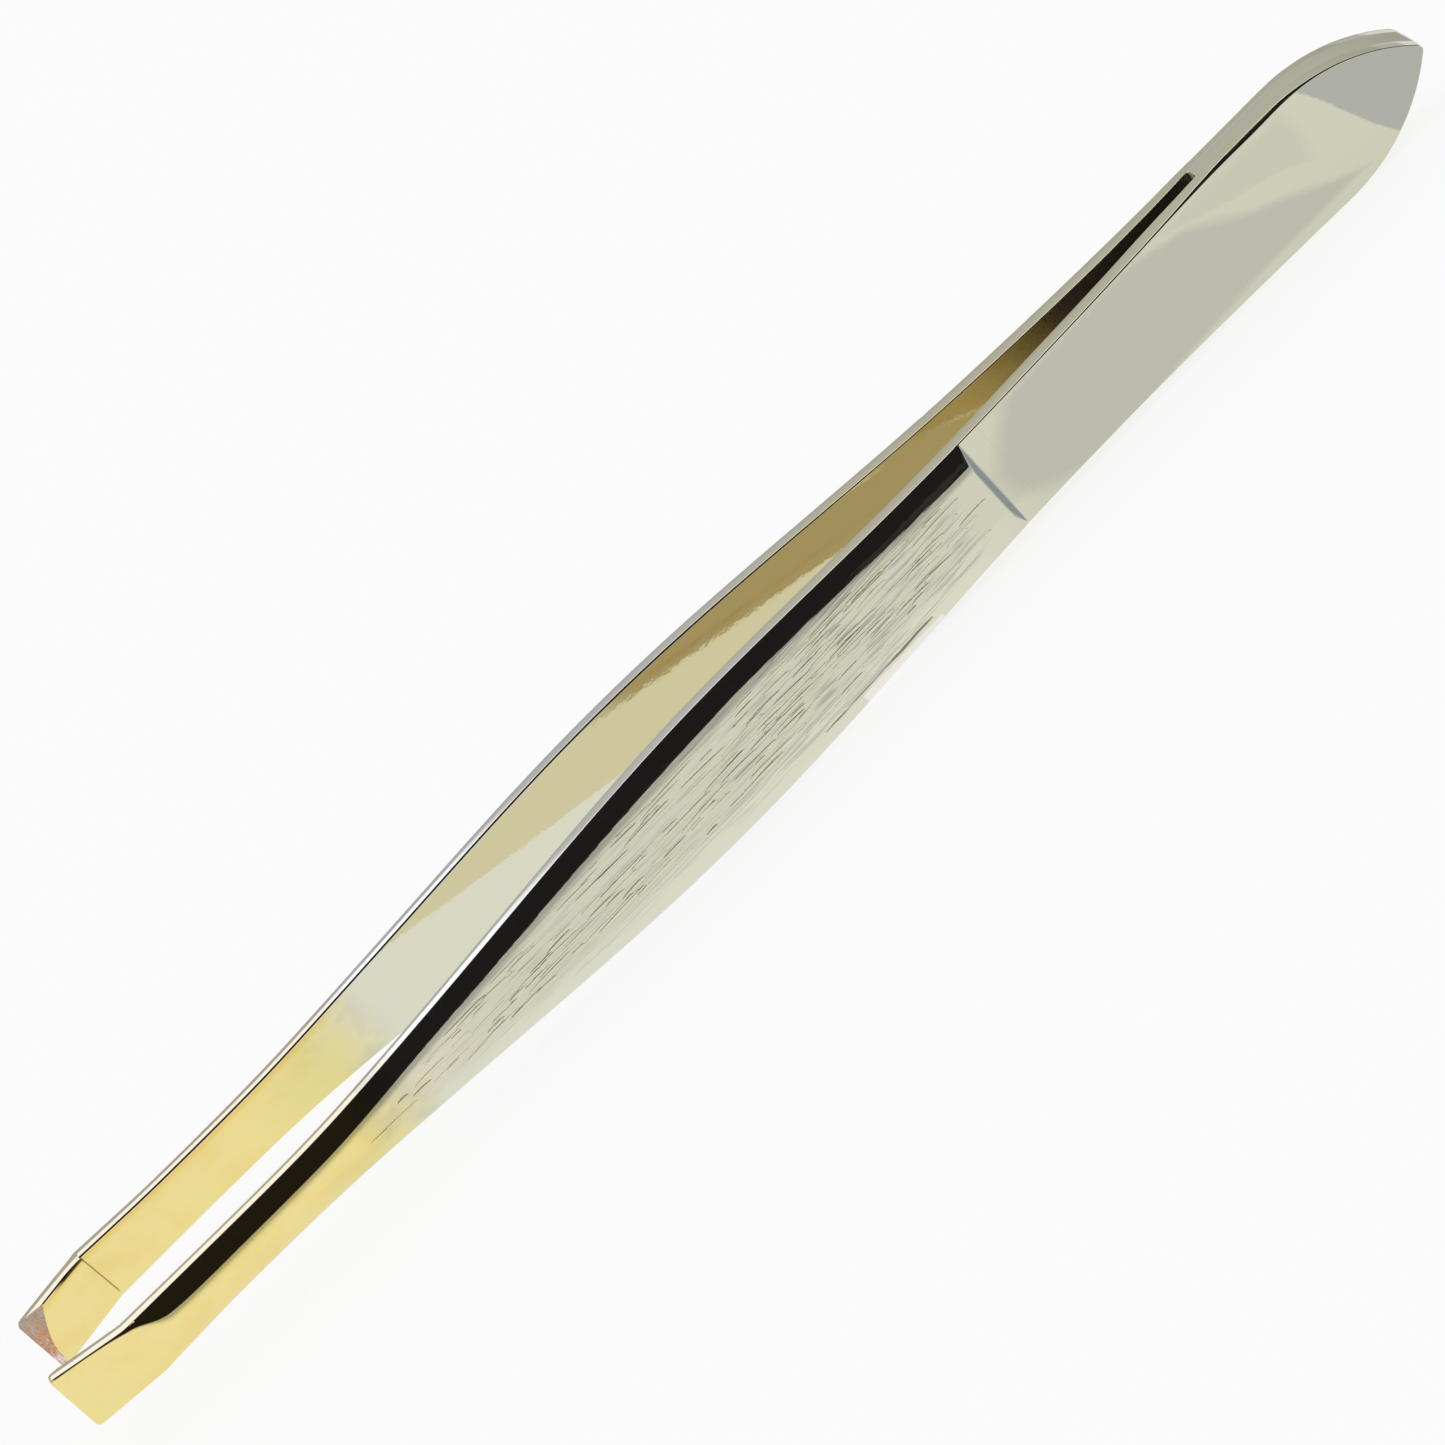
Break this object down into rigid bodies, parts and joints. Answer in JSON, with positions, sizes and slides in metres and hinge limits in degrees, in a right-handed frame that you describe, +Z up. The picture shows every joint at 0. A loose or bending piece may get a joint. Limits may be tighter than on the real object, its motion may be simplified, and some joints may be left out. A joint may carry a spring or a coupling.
{
  "type": "sprung tongs",
  "caption": "Sprung metal tongs: two slim bevelled arms joined at a flat leaf-shaped head, with inward-bent square jaws that meet when the grip is squeezed.",
  "frame": {"origin": "On the surface under the tongs, at the middle of their length and midway between the two arms. The tongs lie on the long edges of their strips.", "axes": "+X from the jaws towards the head, along the length. +Y the way the jaws open, from the front arm to the back arm. +Z up, the width of the strips."},
  "size_m": [0.1, 0.0104, 0.0077],
  "materials": {
    "gold_and_nickel_plate": "mirror-polished nickel plate that turns to gold plate towards the jaws",
    "nickel_plate": "mirror-polished nickel plate",
    "polished_steel": "polished edge of the welded spacer"
  },
  "bodies": {
    "head": {"front_arm_root": "nickel_plate", "back_arm_root": "nickel_plate", "spacer": "polished_steel"},
    "front_arm": {"front_arm": "gold_and_nickel_plate"},
    "back_arm": {"back_arm": "gold_and_nickel_plate"}
  },
  "joints": [
    {"name": "front_arm_spring", "type": "hinge", "parent": "head", "child": "front_arm", "pos_m": [0.028, -0.00126, 0.00385], "axis": [0, 0, -1], "range_deg": [0, 2.24], "stiffness_Nm_per_rad": 1.6},
    {"name": "back_arm_spring", "type": "hinge", "parent": "head", "child": "back_arm", "pos_m": [0.028, 0.00126, 0.00385], "axis": [0, 0, 1], "range_deg": [0, 2.24], "stiffness_Nm_per_rad": 1.6}
  ]
}
